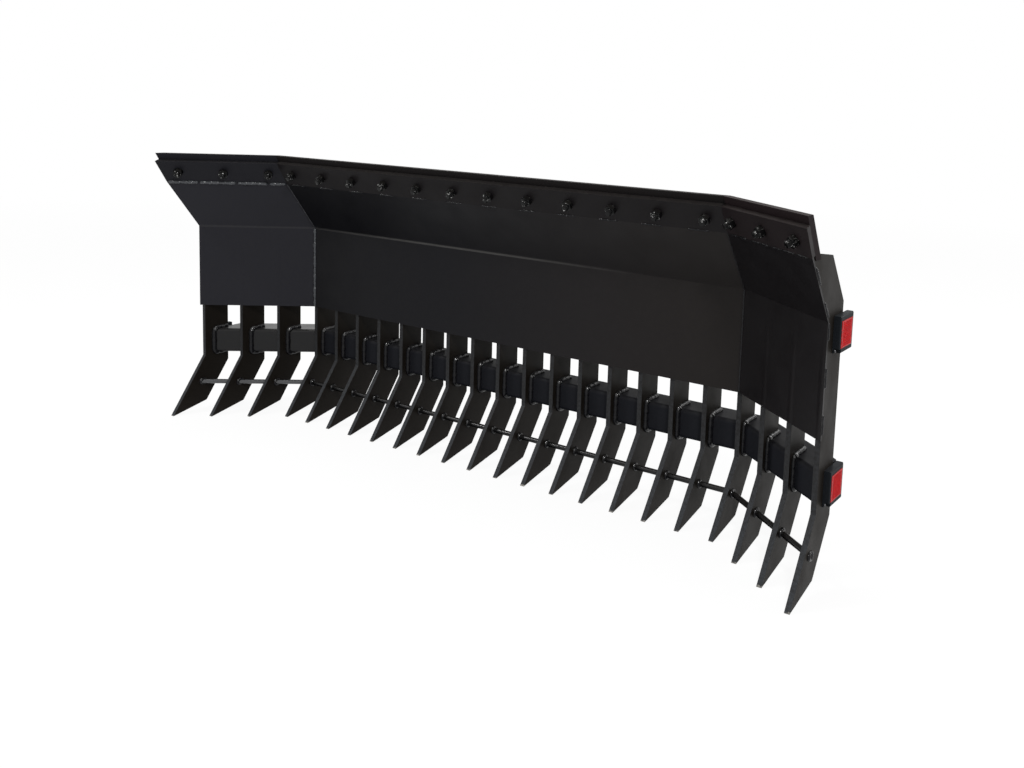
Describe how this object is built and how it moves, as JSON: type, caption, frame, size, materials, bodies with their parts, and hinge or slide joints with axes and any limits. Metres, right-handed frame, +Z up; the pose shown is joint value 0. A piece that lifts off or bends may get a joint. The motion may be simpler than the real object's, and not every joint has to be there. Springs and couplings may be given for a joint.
{
  "type": "stick rake",
  "caption": "Three-panel pushed stick rake: forward-curved plate tines behind a bent mouldboard with swept wings, a bolted top blade, side lamps and a flat hitch plate.",
  "frame": {"origin": "centre of the hitch plate's rear face", "axes": "+X to the right along the rake, +Y backward out of the hitch face, +Z up"},
  "size_m": [2.024, 0.5441, 0.811],
  "materials": {
    "tine_paint": "gloss black paint",
    "board_paint": "gloss black paint",
    "bar_paint": "gloss black paint",
    "blade_paint": "gloss black paint",
    "crossbar_paint": "gloss black paint",
    "tie_bar_paint": "gloss black paint",
    "hitch_paint": "gloss black paint",
    "bolt_steel": "dark plated steel",
    "nut_steel": "dark plated steel",
    "lamp_housing": "moulded black plastic",
    "lamp_lens": "clear red plastic over a prism pattern",
    "screw_steel": "zinc plated"
  },
  "bodies": {
    "root": {"tine_01": "tine_paint", "tine_02": "tine_paint", "tine_03": "tine_paint", "tine_04": "tine_paint", "tine_05": "tine_paint", "tine_06": "tine_paint", "tine_07": "tine_paint", "tine_08": "tine_paint", "tine_09": "tine_paint", "tine_10": "tine_paint", "tine_11": "tine_paint", "tine_12": "tine_paint", "tine_13": "tine_paint", "tine_14": "tine_paint", "tine_15": "tine_paint", "tine_16": "tine_paint", "tine_17": "tine_paint", "tine_18": "tine_paint", "tine_19": "tine_paint", "tine_20": "tine_paint", "tine_21": "tine_paint", "tine_22": "tine_paint", "tine_23": "tine_paint", "centre_mouldboard": "board_paint", "centre_mounting_bar": "bar_paint", "centre_blade": "blade_paint", "centre_crossbar": "crossbar_paint", "centre_tie_bar": "tie_bar_paint", "right_mouldboard": "board_paint", "right_mounting_bar": "bar_paint", "right_blade": "blade_paint", "right_crossbar": "crossbar_paint", "right_tie_bar": "tie_bar_paint", "left_mouldboard": "board_paint", "left_mounting_bar": "bar_paint", "left_blade": "blade_paint", "left_crossbar": "crossbar_paint", "left_tie_bar": "tie_bar_paint", "blade_bolts": "bolt_steel", "blade_nuts": "nut_steel", "right_lamp_housings": "lamp_housing", "right_lamp_lenses": "lamp_lens", "left_lamp_housings": "lamp_housing", "left_lamp_lenses": "lamp_lens", "lamp_screws": "screw_steel", "hitch_plate": "hitch_paint", "hitch_lip": "hitch_paint", "hitch_ledge": "hitch_paint", "hitch_gussets": "hitch_paint"}
  },
  "joints": []
}
